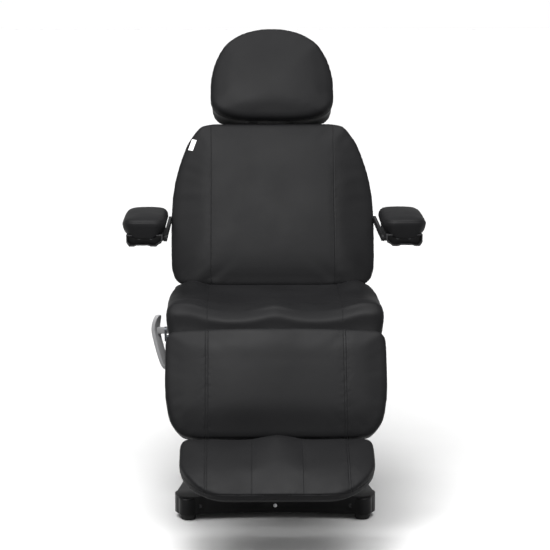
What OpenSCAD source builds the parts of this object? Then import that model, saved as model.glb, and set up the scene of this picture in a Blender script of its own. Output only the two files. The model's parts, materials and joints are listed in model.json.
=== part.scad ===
// Electric treatment chair: back, seat, legrest and footrest sections on a swivelling
// lifting column. X runs across the chair, Y from the feet to the head, Z up from the floor.
// The sections are drawn as they stand in the sitting position.

/* [Cushions] */
// Width of the seat, back and legrest cushions
cushion_w = 620; // [600:1:640]
// Length of the seat cushion
seat_l = 545; // [535:1:570]
// Thickness of the seat cushion in its thigh channels
seat_t = 65; // [55:1:66]
// Rise of the seat's side bolsters above the channels
bolster_h = 20; // [8:1:26]
// Rise of the seat's middle ridge above the channels
ridge_h = 15; // [5:1:22]
// Length of the back cushion's face
back_l = 532; // [480:1:560]
// Thickness of the back cushion
back_t = 78; // [60:1:80]
// Length of the legrest cushion
leg_l = 305; // [280:1:320]
// Thickness of the legrest cushion
leg_t = 75; // [55:1:85]
// Width of the footrest cushion
foot_w = 526; // [460:1:560]
// Depth of the footrest cushion
foot_l = 240; // [200:1:260]
// Thickness of the footrest cushion
foot_t = 44; // [35:1:46]
// Width of the headrest
head_w = 386; // [340:1:420]
// Height of the headrest
head_l = 312; // [280:1:340]
// Thickness of the headrest cushion
head_t = 98; // [80:1:104]
// Distance of the long sewn lines from the middle
seam_x = 194; // [170:1:210]
// Depth of the sewn lines
seam_d = 4; // [2:0.5:6]

/* [Position] */
// Height of the thigh channels above the floor with the column down
seat_z = 590; // [588:1:620]
// Recline of the backrest from upright
back_lean = 25; // [25:1:28]
// Forward swing of the legrest from straight down
leg_lean = 30; // [28:1:34]
// Downward slope of the footrest
foot_slope = 20; // [18:1:24]

/* [Armrests] */
// Length of an armrest pad
arm_l = 295; // [260:1:320]
// Width of an armrest pad
arm_w = 125; // [105:1:135]
// Thickness of an armrest pad
arm_t = 50; // [40:1:60]
// Height of an armrest tray
tray_h = 34; // [28:1:40]
// Height of the pad's underside above the armrest pivot
arm_rise = 26; // [24:1:34]
// Distance of the armrest pivot from the back hinge, along the back
arm_pivot = 306; // [280:1:330]
// Thickness of the armrest bar
bar_t = 8; // [6:1:10]

/* [Base and column] */
// Width of the base
base_w = 582; // [560:1:640]
// Depth of the base
base_l = 530; // [510:1:580]
// Height of the top of the base cover
base_h = 69; // [66:1:76]
// Inward curve of each side of the base between its corners
base_bow = 24; // [16:1:30]
// Radius of the corner pods
pod_r = 50; // [44:1:54]
// Gap under the base cover
base_gap = 16; // [14:1:20]
// Radius of a foot
foot_r = 22; // [18:1:25]
// Outer radius of the lower column sleeve
sleeve_r = 82; // [80:1:90]
// Wall of the plastic covers
wall = 3; // [2.5:0.5:4]
// Side of the square outer column tube
column_a = 100; // [90:1:106]

/* [Frame] */
// Side of the seat frame's rails across
rail_w = 20; // [16:1:24]
// Distance of the seat frame's rails from the middle
rail_x = 200; // [196:1:206]
// Distance of the two section drives from the middle
drive_x = 120; // [118:1:122]
// Radius of a section drive's tube
drive_r = 18; // [16:1:19]
// Radius of the hinge shafts and pins
pin_r = 8; // [6:1:9]
// Running clearance between a pin and its bore
run = 0.05; // [0.02:0.01:0.1]
// Gap that keeps neighbouring pieces apart
gap = 0.5; // [0.3:0.1:0.8]

/* [Hidden] */
$fn = 48;

// Seat
seat_y0 = -203;                       // front edge of the seat cushion
seat_y1 = seat_y0 + seat_l;           // rear edge of the seat cushion
seat_under = seat_z - seat_t;         // underside of the seat cushion
board_t = 10;                         // thickness of the plywood boards
rail_h = 40;
rail_z1 = seat_under - board_t;       // top of the seat frame
rail_z0 = rail_z1 - rail_h;
cross_a = 30;                         // side of the cross tubes
plate_t = 6;                          // thickness of the steel hinge plates
eye_r = 13;

// Column
col_y = 45;                           // the column stands behind the frame's origin
turn_z = 417;                         // underside of the turning plate
turn_t = 8;
turn_r = 110;

// Back hinge and the back's own frame: Y up along the back, Z out of its face
back_z = back_t + board_t;            // the face above the hinge
back_y0 = 0.682 * back_z;             // lower edge of the face above the hinge
joint_gap = 15;                       // gap between seat and back when they lie flat
hinge_y = seat_y1 + joint_gap - back_y0;
hinge_z = seat_z + 10 - back_z;
back_y1 = back_y0 + back_l;
back_rail_x = 225;
crank_drop = 64;                      // a drive rod runs this far below its hinge
crank_mid = 69.6;                     // the crank slot's distance from the hinge

// Leg hinge and the legrest's own frame: Y up along the leg, Z out of its face
leg_hinge_y = seat_y0 - 15;
leg_hinge_z = seat_under - 5;
leg_y1 = 6;                           // upper edge of the legrest above the hinge
leg_z = 20;                           // underside of the legrest cushion
leg_rail_x = 150;
slide_a = 20;                         // side of the footrest's slide tubes
slide_wall = 2.5;

// Footrest hinge, in the legrest's frame
foot_hinge = [leg_y1 - leg_l - 45, 55];
foot_under = 13;                      // underside of the footrest cushion above its hinge

// Headrest, in the back's frame
head_y0 = back_y1 + 9;
head_hinge = [head_y0 + 90, -14];
post_x = 60;
post_r = 8;
head_under = 10;

// Armrests
arm_x0 = cushion_w / 2 + 5;           // inner side of the bar
arm_pivot_z = -17;                    // pivot behind the back's board
arm_front = 501;                      // reach of the pad in front of the pivot

// Swivel lock
lock_y = -45;
lock_z = rail_z1 - 12;
lever_rise = 22;                      // the lever's hub above its shaft
plunger = [-68, lock_y + 25];

function tilt(p, a) = [p[0] * cos(a) - p[1] * sin(a), p[0] * sin(a) + p[1] * cos(a)];
function mix(a, b, t) = a * (1 - t) + b * t;
function both(h) = concat([for (i = [len(h) - 1 : -1 : 0]) -h[i]], [0], h);
function steps(a, b, n) = [for (i = [1 : n]) mix(a, b, i / (n + 1))];
// Fractions of a half width at which a rounded rim is drawn
function rim(half, r) = [for (a = [0, 30, 60, 90]) 1 - r * (1 - sin(a)) / half];
// Fractions at which a sewn line is drawn
function sewn(x, half) = [(x - 7) / half, x / half, (x + 7) / half];
// Fall of a rounded rim at distance d from its edge
function fall(d, r) = d >= r ? 0 : r - sqrt(r * r - (r - d) * (r - d));
// Inset of a corner of radius r at distance s along a side of half length h
function drop(s, h, r) = s <= h - r ? 0 : r - sqrt(max(0, r * r - (s - h + r) * (s - h + r)));
// Point of a rounded rectangle for u and v from -1 to 1
function plan(u, v, hw, hl, r) = [
    u * (hw - drop(abs(v) * (hl - 0.293 * r), hl, r)),
    v * (hl - drop(abs(u) * (hw - 0.293 * r), hw, r))
];
// Outline of a plan function, as 8 n points round the square from -1 to 1
function ring(n, at) = concat(
    [for (i = [-n : n - 1]) at(1, i / n)], [for (i = [-n : n - 1]) at(-i / n, 1)],
    [for (i = [-n : n - 1]) at(-1, -i / n)], [for (i = [-n : n - 1]) at(i / n, -1)]
);
// Inset of a cushion's side at depth t, from its face seam at 0 to its back seam at 1
function side(t) = 4 * sin(180 * t) + 3 * t;
function groove(x, at) = seam_d * max(0, 1 - abs(abs(x) - at) / 7);
function bump(x, w) = exp(-(x * x) / (w * w));
function shelf(x, from, to) = x <= from ? 0 : x >= to ? 1 : 0.5 - 0.5 * cos(180 * (x - from) / (to - from));

module block(x, y, z) {
    translate([x[0], y[0], z[0]]) cube([x[1] - x[0], y[1] - y[0], z[1] - z[0]]);
}

module rod_x(x, at, r) {
    translate([x[0], at[0], at[1]]) rotate([0, 90, 0]) cylinder(h = x[1] - x[0], r = r);
}

module rod_y(y, x, z, r) {
    translate([x, y[0], z]) rotate([-90, 0, 0]) cylinder(h = y[1] - y[0], r = r);
}

module pair() {
    children();
    mirror([1, 0, 0]) children();
}

// A strap of width w through the given points, with slightly wider round ends and bends
module strap(path, w) {
    for (p = path) translate(p) circle(d = w + 0.6);
    for (i = [1 : len(path) - 1]) {
        d = path[i] - path[i - 1];
        translate(path[i - 1]) rotate(atan2(d[1], d[0])) translate([0, -w / 2]) square([norm(d), w]);
    }
}

// Draws a Y and Z outline as a plate between two places across the chair
module plate_x(x) {
    translate([x[0], 0, 0]) rotate([90, 0, 90]) linear_extrude(x[1] - x[0]) children();
}

module hole(at, r) {
    translate(at) circle(r = r);
}

// A closed padded form. spot(u, v, t) gives the point of its face for t = 0, and of its side
// at depth t for a place on the edge. The flat underside closes on one middle point.
module padded(us, vs, ts, spot) {
    nu = len(us);
    nv = len(vs);
    nr = 2 * (nu + nv) - 4;
    edge = concat(
        [for (i = [0 : nu - 1]) [us[i], -1, i]],
        [for (j = [1 : nv - 1]) [1, vs[j], j * nu + nu - 1]],
        [for (i = [nu - 2 : -1 : 0]) [us[i], 1, (nv - 1) * nu + i]],
        [for (j = [nv - 2 : -1 : 1]) [-1, vs[j], j * nu]]
    );
    face = [for (v = vs) for (u = us) spot(u, v, 0)];
    walls = [for (t = ts) for (e = edge) spot(e[0], e[1], t)];
    middle = [spot(0, 0, 1)];
    function at(k, i) = k == 0 ? edge[i % nr][2] : nu * nv + (k - 1) * nr + i % nr;
    last = len(ts);
    polyhedron(
        points = concat(face, walls, middle),
        faces = concat(
            [for (j = [0 : nv - 2]) for (i = [0 : nu - 2])
                let (a = j * nu + i) each [[a, a + nu, a + nu + 1], [a, a + nu + 1, a + 1]]],
            [for (k = [0 : last - 1]) for (i = [0 : nr - 1])
                each [[at(k, i), at(k, i + 1), at(k + 1, i + 1)], [at(k, i), at(k + 1, i + 1), at(k + 1, i)]]],
            [for (i = [0 : nr - 1]) [at(last, i), at(last, i + 1), len(face) + len(walls)]]
        ),
        convexity = 6
    );
}

// Places children drawn in a section's own frame
module on_back() {
    translate([0, hinge_y, hinge_z]) rotate([90 - back_lean, 0, 0]) children();
}
module on_leg() {
    translate([0, leg_hinge_y, leg_hinge_z]) rotate([90 - leg_lean, 0, 0]) children();
}
module on_foot() {
    on_leg() translate([0, foot_hinge[0], foot_hinge[1]]) rotate([foot_slope + leg_lean - 90, 0, 0]) children();
}

// Seat

seat_hw = cushion_w / 2 + 2;
seat_front_r = 16;
seat_rear_r = 35;
function seat_face(x, y) =
    mix(bolster_h * shelf(abs(x), 0.48 * seat_hw, 0.8 * seat_hw) + ridge_h * bump(x, 50),
        10, shelf(y, 0.2 * seat_l, 0.86 * seat_l)) - groove(x, seam_x) * 0.9;
seat_spot = function (u, v, t)
    let (p = plan(u, v, seat_hw, seat_l / 2, v < 0 ? 30 : 16),
         y = p[1] + seat_l / 2,
         top = seat_z + seat_face(p[0], y) - max(fall((1 - abs(u)) * seat_hw, 22),
               v < 0 ? fall((1 + v) * seat_l / 2, seat_front_r) : fall((1 - v) * seat_l / 2, seat_rear_r)),
         s = side(t))
    [p[0] * (1 - s / seat_hw), seat_y0 + y - (y - seat_l / 2) * 2 * s / seat_l, mix(top, seat_under, t)];

module seat_cushion() {
    us = both(concat([0.09, 0.18, 0.3, 0.45], sewn(seam_x, seat_hw), [0.8], rim(seat_hw, 22)));
    vs = concat([for (f = [90, 60, 30, 0]) -1 + seat_front_r * (1 - sin(f)) * 2 / seat_l],
        [-0.82, -0.6, -0.35, 0, 0.35, 0.6], rim(seat_l / 2, seat_rear_r));
    color("dimgray") padded(us, vs, [0.12, 0.5, 0.88, 1], seat_spot);
}

module seat_board() {
    color("burlywood") difference() {
        block([-seat_hw + 18, seat_hw - 18], [seat_y0 + 8, hinge_y - 27], [rail_z1, seat_under - 0.3]);
        for (x = [-150, 150]) translate([x, 30, rail_z1 - 1]) cylinder(h = board_t + 2, r = 12);
        // Notches round the front eyes
        pair() block([rail_x - rail_w / 2 - 3, rail_x + rail_w / 2 + 3], [seat_y0, seat_y0 + 32], [rail_z1 - 1, seat_under + 1]);
    }
}

module seat_frame() {
    cross_z = [rail_z1 - cross_a, rail_z1 - 0.01];
    color("black") difference() {
        union() {
            pair() {
                block([rail_x - rail_w / 2, rail_x + rail_w / 2], [leg_hinge_y + 22, hinge_y - 20], [rail_z0, rail_z1]);
                plate_x([rail_x - rail_w / 2, rail_x + rail_w / 2]) {
                    strap([[leg_hinge_y, leg_hinge_z], [leg_hinge_y + 34, rail_z1 - 16]], 2 * eye_r - 2);
                    strap([[hinge_y, hinge_z], [hinge_y - 30, rail_z1 - 14]], 22);
                }
            }
            for (y = [-115, 165])
                block([-rail_x + rail_w / 2, rail_x - rail_w / 2], [y - cross_a / 2, y + cross_a / 2], cross_z);
            for (x = [-45, 45])
                block([x - 10, x + 10], [-130, 180], [turn_z + turn_t, cross_z[0]]);
            // Ears that hold the drives' tails
            for (s = [-1, 1]) for (d = [-24, 16])
                block([s * drive_x + d, s * drive_x + d + 8], (s < 0) ? [151, 179] : [-129, -101],
                    [(s < 0 ? leg_hinge_z : hinge_z) - crank_drop - 12, cross_z[0]]);
            rod_x([-rail_x - 32, -rail_x], [lock_y, lock_z], 12);
        }
        // The rails are hollow between their ends
        pair() block([rail_x - rail_w / 2 + 2.5, rail_x + rail_w / 2 - 2.5],
            [leg_hinge_y + 60, hinge_y - 50], [rail_z0 + 2.5, rail_z1 - 2.5]);
        for (y = [-115, 165])
            block([-rail_x + rail_w, rail_x - rail_w], [y - cross_a / 2 + 3, y + cross_a / 2 - 3],
                [cross_z[0] + 3, cross_z[1] - 3]);
        rod_x([-rail_x - 40, rail_x + 40], [leg_hinge_y, leg_hinge_z], pin_r + run);
        rod_x([-rail_x - 40, rail_x + 40], [hinge_y, hinge_z], pin_r + run);
        rod_x([-rail_x - 40, -rail_x + 30], [lock_y, lock_z], pin_r + run);
        for (s = [-1, 1]) rod_x([s * drive_x - 30, s * drive_x + 30],
            [s < 0 ? 165 : -115, (s < 0 ? leg_hinge_z : hinge_z) - crank_drop], 5 + run);
    }
}

// The long shaft that carries the legrest, with a bolt head at each end
module leg_hinge_shaft() {
    color("black") union() {
        rod_x([-293, 293], [leg_hinge_y, leg_hinge_z], pin_r);
        pair() rod_x([293, 302], [leg_hinge_y, leg_hinge_z], 11);
    }
}

module back_hinge_pins() {
    color("silver") pair() union() {
        rod_x([rail_x - rail_w / 2 - 4, rail_x + rail_w / 2 + 10], [hinge_y, hinge_z], pin_r);
        rod_x([rail_x - rail_w / 2 - 8, rail_x - rail_w / 2 - 2 * gap], [hinge_y, hinge_z], 11);
    }
}

module control_box() {
    color("darkslategray") difference() {
        union() {
            block([-150, -30], [195, 262], [rail_z1 - 44, rail_z1 - 0.3]);
            block([-158, -22], [202, 255], [rail_z1 - 6, rail_z1 - 0.3]);
            for (x = [-130 : 20 : -50]) rod_y([262, 272], x, rail_z1 - 26, 7);
        }
        for (x = [-130 : 20 : -50]) rod_y([258, 273], x, rail_z1 - 26, 4);
        for (x = [-154, -26]) translate([x, 228, rail_z1 - 7]) cylinder(h = 8, r = 2.2);
    }
}

// Drives of the legrest and the back: a tube with its motor beside it and a sliding rod

module drive_body(x, z, tail, nose, bore) {
    s = sign(nose - tail);
    side_x = x + sign(x) * 43;
    color("dimgray") difference() {
        union() {
            rod_y([min(tail + s * 22, nose), max(tail + s * 22, nose)], x, z, drive_r);
            rod_y([min(nose, nose - s * 14), max(nose, nose - s * 14)], x, z, drive_r + 2);
            block([min(x - 20, side_x - 20), max(x + 20, side_x + 20)],
                [min(tail + s * 18, tail + s * 58), max(tail + s * 18, tail + s * 58)], [z - 20, z + 20]);
            rod_y([min(tail + s * 58, tail + s * 150), max(tail + s * 58, tail + s * 150)], side_x, z, 20);
            rod_x([x - 15, x + 15], [tail, z], 11);
            block([x - 15, x + 15], [min(tail, tail + s * 20), max(tail, tail + s * 20)], [z - 11, z + 11]);
        }
        rod_x([x - 16, x + 16], [tail, z], 5 + run);
        rod_y([min(nose + s, nose - s * bore), max(nose + s, nose - s * bore)], x, z, 10 + run);
    }
}

module drive_rod(x, z, pin_y, inside) {
    color("silver") union() {
        rod_y([min(pin_y, inside), max(pin_y, inside)], x, z, 10);
        rod_x([x - 12, x + 12], [pin_y, z], 12);
        rod_x([x - 22, x + 22], [pin_y, z], 6);
    }
}

module drive_pin(x, z, tail) {
    color("silver") union() {
        rod_x([x - 26, x + 26], [tail, z], 5);
        rod_x([x - 29, x - 24.2], [tail, z], 8);
    }
}

leg_rod_z = leg_hinge_z - crank_drop;
back_rod_z = hinge_z - crank_drop;
leg_rod_y = leg_hinge_y + crank_drop * tan(30);
back_rod_y = hinge_y + crank_drop * tan(32.5);

module leg_drive() { drive_body(-drive_x, leg_rod_z, 165, -72, 150); }
module leg_drive_rod() { drive_rod(-drive_x, leg_rod_z, leg_rod_y, 60); }
module back_drive() { drive_body(drive_x, back_rod_z, -115, 150, 200); }
module back_drive_rod() { drive_rod(drive_x, back_rod_z, back_rod_y, 40); }
module drive_pins() {
    drive_pin(-drive_x, leg_rod_z, 165);
    drive_pin(drive_x, back_rod_z, -115);
}

// Slot in which a drive rod's cross pin rides, for a crank standing at angle a behind plumb
module crank_slot(a) {
    strap([for (r = [crank_mid - 6.5, crank_mid + 6.5]) [r * sin(a), -r * cos(a)]], 17);
}

// Back, drawn in its own frame

back_hw = cushion_w / 2 + 2;
// Half width of the barrel-shaped back at height y above its lower edge
function back_w(y) = back_hw * (1 - 0.262 * pow(max(0, (y / back_l - 0.395) / 0.605), 2.4)
                                - 0.02 * pow(max(0, 1 - y / 170), 2));
function back_at(u, v) =
    let (p = plan(u, v, back_hw, back_l / 2, v > 0 ? 24 : 60), y = p[1] + back_l / 2)
    [p[0] * back_w(y) / back_hw, y];
back_slope = tan(back_lean);
back_spot = function (u, v, t)
    let (p = back_at(u, v),
         bow = 10 * (1 - pow(abs(u), 2.5)) * (1 - pow(abs(v), 3)),
         top = back_z - 10 + bow - max(fall((1 - abs(u)) * back_hw, 22), fall((1 - abs(v)) * back_l / 2, 18))
               - groove(p[0], seam_x - 3) * 0.9,
         z = mix(top, board_t + 0.3, t),
         s = side(t),
         lean = v < -0.999 ? 1 : max(0, (-0.6 - v) / 0.4))
    [p[0] * (1 - s / back_hw),
     back_y0 + p[1] - (p[1] - back_l / 2) * 2 * s / back_l + lean * back_slope * (back_z - z), z];

module back_cushion() {
    us = both(concat([0.15, 0.3, 0.45], sewn(seam_x - 3, back_hw), [0.8], rim(back_hw, 22)));
    edge = rim(back_l / 2, 18);
    vs = concat([for (i = [3 : -1 : 0]) -edge[i]], [-0.8, -0.6, -0.35, -0.1, 0.15, 0.35, 0.52, 0.66, 0.78, 0.87], edge);
    color("dimgray") on_back() padded(us, vs, [0.12, 0.5, 0.88, 1], back_spot);
}

// Outline of the back, drawn in by d on every side, from y0 upwards
function back_outline(d, y0) = [for (p = ring(14, function (u, v) back_at(u, v)))
    [p[0] * (1 - d / back_hw), max(y0, back_y0 + back_l / 2 + (p[1] - back_l / 2) * (1 - 2 * d / back_l))]];

module back_board() {
    color("burlywood") on_back() linear_extrude(board_t)
        polygon(back_outline(16, back_y0 + 44));
}

module back_frame() {
    z = [-32, -2];
    arm_x = rail_x + rail_w / 2 + 2;
    color("black") on_back() difference() {
        union() {
            pair() {
                block([back_rail_x - 10, back_rail_x + 10], [back_y0 + 67, back_y1 - 84], z);
                // Cranked hinge arm
                plate_x([arm_x, arm_x + plate_t])
                    strap([[0, 0], [10, -58], [60, -48], [back_y0 + 92, -17]], 22);
                // Boss of the armrest pivot
                rod_x([back_rail_x, arm_x0 - 12], [arm_pivot, arm_pivot_z], 14);
            }
            for (y = [arm_pivot, back_y1 - 99])
                block([-back_rail_x + 10, back_rail_x - 10], [y - 15, y + 15], [-32, -2.01]);
            rod_x([-arm_x - 2, arm_x + 2], [60, -48], 10);
            for (d = [-20, 14]) plate_x([drive_x + d, drive_x + d + plate_t])
                strap([[60, -50.5], [-37.5, -59]], 36);
            // Sockets of the headrest posts
            pair() rod_y([back_y1 - 165, back_y1 - 6], post_x, head_hinge[1], post_r + 5);
        }
        pair() {
            rod_x([arm_x - 1, arm_x + plate_t + 1], [0, 0], pin_r + run);
            rod_x([back_rail_x - 11, arm_x0], [arm_pivot, arm_pivot_z], pin_r + run);
            rod_y([back_y1 - 170, back_y1], post_x, head_hinge[1], post_r + run);
        }
        // The rod's cross pin rides in a slot that leaves it free where the linkage is open
        plate_x([drive_x - 30, drive_x + 30]) rotate(back_lean - 90) crank_slot(32.5);
    }
}

module back_cover() {
    low = back_y0 + 60;
    color("black") on_back() difference() {
        union() {
            translate([0, 0, -43]) linear_extrude(42) polygon(back_outline(24, low));
            translate([0, 0, -50]) linear_extrude(8) polygon(back_outline(40, low + 8));
        }
        translate([0, 0, -43 + wall]) linear_extrude(50) polygon(back_outline(24 + 2 * wall, low + wall));
        translate([0, 0, -50 + wall]) linear_extrude(50) polygon(back_outline(40 + 2 * wall, low + 8 + wall));
        rod_x([-400, 400], [arm_pivot, arm_pivot_z], 17.5);
        pair() rod_y([back_y1 - 80, back_y1 + 20], post_x, head_hinge[1], post_r + 5.5);
        // Way for the hinge arms
        pair() block([rail_x + 8, rail_x + 24], [low - 30, low + 60], [-60, 0]);
    }
}

// Headrest

head_hw = head_w / 2;
head_up = 0.69 * head_l;              // from the widest place to the top
head_down = head_l - head_up;
function round_at(u, v) =
    let (c = [u * sqrt(1 - v * v / 2), v * sqrt(1 - u * u / 2)], r = norm(c), n = v > 0 ? 2.3 : 4.5,
         s = r == 0 ? 1 : pow(pow(abs(c[0]) / r, n) + pow(abs(c[1]) / r, n), -1 / n))
    [c[0] * s, c[1] * s];
head_spot = function (u, v, t)
    let (c = round_at(u, v), e = max(abs(u), abs(v)),
         z0 = head_under + head_t * (0.86 + 0.14 * (1 - e * e)) - fall((1 - e) * head_hw * 0.8, 20),
         s = side(t) * 1.3)
    [c[0] * (head_hw - s), head_y0 + head_down + c[1] * ((v > 0 ? head_up : head_down) - s),
     mix(z0, head_under + 0.3, t)];

module headrest_cushion() {
    line = both([0.15, 0.32, 0.5, 0.66, 0.8, 0.88, 0.95, 0.985, 1]);
    color("dimgray") on_back() padded(line, line, [0.12, 0.5, 0.88, 1], head_spot);
}

module headrest_board() {
    outline = [for (c = ring(10, function (u, v) round_at(u, v)))
        [c[0] * (head_hw - 12), head_y0 + head_down + c[1] * ((c[1] > 0 ? head_up : head_down) - 12)]];
    color("black") on_back() difference() {
        union() {
            translate([0, 0, head_under - 8]) linear_extrude(8) polygon(outline);
            pair() plate_x([post_x - 28, post_x - 22])
                strap([head_hinge, [head_hinge[0], head_under - 4], [head_hinge[0] + 60, head_under - 4]], 22);
        }
        rod_x([-post_x, post_x], head_hinge, pin_r + run);
        // Nothing of the brackets stands above the board
        block([-80, 80], [head_hinge[0] - 90, head_hinge[0] + 120], [head_under, head_under + 40]);
    }
}

// Posts and cross tube that carry the headrest and slide in the back's sockets
module headrest_posts() {
    color("silver") on_back() union() {
        pair() rod_y([back_y1 - 155, head_hinge[0] + 10], post_x, head_hinge[1], post_r);
        rod_x([-post_x, post_x], head_hinge, pin_r);
    }
}

// Armrests: s is -1 on the left of the picture, 1 on the right

arm_at = tilt([arm_pivot, arm_pivot_z], 90 - back_lean);
arm_y = hinge_y + arm_at[0];
arm_z = hinge_z + arm_at[1];
pad_y0 = arm_y - arm_front;
pad_z = arm_z + arm_rise;
arm_xc = arm_x0 + 1 + arm_w / 2;

module side_of(s) {
    mirror([s < 0 ? 1 : 0, 0, 0]) children();
}

module armrest_bar(s) {
    y_end = pad_y0 + 70;
    color("black") side_of(s) union() {
        difference() {
            plate_x([arm_x0, arm_x0 + bar_t])
                strap([[arm_y, arm_z], [arm_y - 40, arm_z + 8], [y_end, arm_z + 8]], 20);
            for (y = [y_end + 20, y_end + 110]) rod_x([arm_x0 - 1, arm_x0 + bar_t + 1], [y, arm_z + 8], 3);
        }
        rod_x([back_rail_x + 4, arm_x0 + 2], [arm_y, arm_z], pin_r);
    }
}

// The tray's cross section under the pad, set in by d: slanted inner side and arched floor
module tray_outline(d) {
    w = arm_w / 2 - 10;
    h = tray_h;
    polygon([[-w + 18 + d, -h + d], [-w + 34, -h + d], [-w + 42, -h + 3 + d], [w - 30, -h + 3 + d], [w - 22, -h + d],
        [w - 8 - d, -h + d], [w - d, -h + 12 + d], [w - d, -d], [-w + d, -d], [-w + d, -h + 16 + d / 2]]);
}

module armrest_tray(s) {
    y0 = pad_y0 + 6;
    y1 = pad_y0 + arm_l - 24;
    flange = [arm_x0 + bar_t, arm_xc - arm_w / 2 + 14];
    color("black") side_of(s) difference() {
        union() {
            difference() {
                translate([arm_xc, y1, pad_z]) rotate([90, 0, 0]) linear_extrude(y1 - y0) tray_outline(0);
                translate([arm_xc, y1 - wall, pad_z]) rotate([90, 0, 0]) linear_extrude(y1 - y0) tray_outline(wall);
            }
            // Side flange bolted to the bar, and the rails under the pad whose ends show in front
            block(flange, [pad_y0 + 74, pad_y0 + 196], [pad_z - 28, pad_z - 0.01]);
            for (x = [-19, 15]) rod_y([y0 + 12, y1 - 10], arm_xc + x, pad_z - wall - 6.5, 7);
        }
        for (x = [-19, 15]) rod_y([y0, y0 + 30], arm_xc + x, pad_z - wall - 6.5, 3.5);
        for (y = [pad_y0 + 90, pad_y0 + 180]) rod_x([arm_x0, flange[1] + 8], [y, arm_z + 8], 3);
    }
}

function arm_spot(s) = function (u, v, t)
    let (hw = arm_w / 2, hl = arm_l / 2, p = plan(u, v, hw, hl, 42),
         top = arm_t - 4 * pow(abs(u), 2) - 3 * pow(abs(v), 2)
               - max(fall((1 - abs(u)) * hw, 18), fall((1 - abs(v)) * hl, 18)),
         e = side(t) * 0.8 + 6 * shelf(t, 0.5, 1))
    [s * (arm_xc + p[0] * (1 - e / hw)), pad_y0 + hl + p[1] * (1 - e / hl), pad_z + 0.3 + mix(top, 0, t)];

module armrest_pad(s) {
    us = both(concat([0.25, 0.5], rim(arm_w / 2, 18)));
    vs = both(concat([0.35, 0.7], rim(arm_l / 2, 18)));
    spot = arm_spot(1);
    color("dimgray") side_of(s) padded(us, vs, [0.15, 0.5, 0.85, 1], spot);
}

// Legrest, drawn in its own frame

leg_hw = cushion_w / 2;
function leg_at(u, v) =
    let (p = plan(u, v, leg_hw, leg_l / 2, v < 0 ? 70 : 34))
    [p[0] * (1 - 0.055 * pow(max(0, -0.05 - v) / 0.95, 1.3)), p[1]];
leg_spot = function (u, v, t)
    let (p = leg_at(u, v),
         bow = 5 * (1 - pow(abs(u), 2)) * (1 - pow(abs(v), 2)) + 5 * bump(p[0], 70) * shelf(v, -0.6, 0.9) * (1 - pow(abs(v), 6)),
         top = leg_z + leg_t - 7 + bow - max(fall((1 - abs(u)) * leg_hw, 18), fall((1 - abs(v)) * leg_l / 2, 15))
               - groove(p[0], seam_x) * 0.9,
         s = side(t))
    [p[0] * (1 - s / leg_hw), leg_y1 - leg_l / 2 + p[1] * (1 - 2 * s / leg_l), mix(top, leg_z + 0.3, t)];

module legrest_cushion() {
    us = both(concat([0.1, 0.22, 0.4], sewn(seam_x, leg_hw), [0.8], rim(leg_hw, 18)));
    vs = both(concat([0.3, 0.55, 0.75], rim(leg_l / 2, 15)));
    color("dimgray") on_leg() padded(us, vs, [0.12, 0.5, 0.88, 1], leg_spot);
}

module legrest_board() {
    color("burlywood") on_leg() difference() {
        translate([0, leg_y1 - leg_l / 2, leg_z - board_t - 1.7]) linear_extrude(board_t + 1.7)
            polygon([for (p = ring(11, function (u, v) leg_at(u, v)))
                [p[0] * (1 - 18 / leg_hw), min(p[1] * (1 - 36 / leg_l), leg_l / 2 - leg_y1 - 22)]]);
        for (x = [-60, 60]) translate([x, -200, 0]) cylinder(h = 40, r = 10);
    }
}

module legrest_frame() {
    z = [-18, 8];
    top_y = -28;
    inner = slide_a + 2 * 0.3;
    color("black") on_leg() difference() {
        union() {
            pair() {
                block([leg_rail_x - 13, leg_rail_x + 13], [leg_y1 - leg_l + 6, top_y], z);
                for (x = [rail_x + rail_w / 2 + 2, 279]) plate_x([x, x + plate_t])
                    strap([[0, 0], [top_y - 2, -7]], 2 * eye_r - 2);
            }
            block([-285, 285], [top_y - 13, top_y + 13], [z[0], z[1] - 0.01]);
            block([-leg_rail_x, leg_rail_x], [-190, -165], [z[0], z[1] - 0.01]);
            for (d = [-20, 14]) plate_x([-drive_x + d, -drive_x + d + plate_t])
                strap([[top_y - 8, -12], [-34.8, -60.3]], 38);
        }
        pair() {
            rod_x([rail_x, 300], [0, 0], pin_r + run);
            // The footrest's slide tubes run in these rails
            block([leg_rail_x - inner / 2, leg_rail_x + inner / 2], [leg_y1 - leg_l, top_y - 20],
                [-5 - inner / 2, -5 + inner / 2]);
        }
        plate_x([-drive_x - 30, -drive_x + 30]) rotate(leg_lean - 90) crank_slot(30);
    }
}

// Slide tubes and ears that carry the footrest, in the legrest's frame
module footrest_slide() {
    y = leg_y1 - leg_l - 37;
    ear = 114;
    color("silver") on_leg() difference() {
        union() {
            pair() {
                block([leg_rail_x - slide_a / 2, leg_rail_x + slide_a / 2], [y, y + 190], [-5 - slide_a / 2, -5 + slide_a / 2]);
                plate_x([ear, ear + plate_t]) strap([[y, -5], foot_hinge], 20);
            }
            block([-leg_rail_x - slide_a / 2, leg_rail_x + slide_a / 2], [y - 10, y + 10], [-5 - slide_a / 2, -5 + slide_a / 2]);
        }
        pair() {
            rod_x([ear - 1, ear + plate_t + 1], foot_hinge, 6 + run);
            block([leg_rail_x - slide_a / 2 + slide_wall, leg_rail_x + slide_a / 2 - slide_wall],
                [y + 12, y + 191], [-5 - slide_a / 2 + slide_wall, -5 + slide_a / 2 - slide_wall]);
        }
    }
}

module footrest_pins() {
    color("silver") on_leg() pair() union() {
        rod_x([108, 134], foot_hinge, 6);
        rod_x([105, 113.5], foot_hinge, 9);
    }
}

// Footrest, drawn in its own frame with the hinge at its origin

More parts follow.
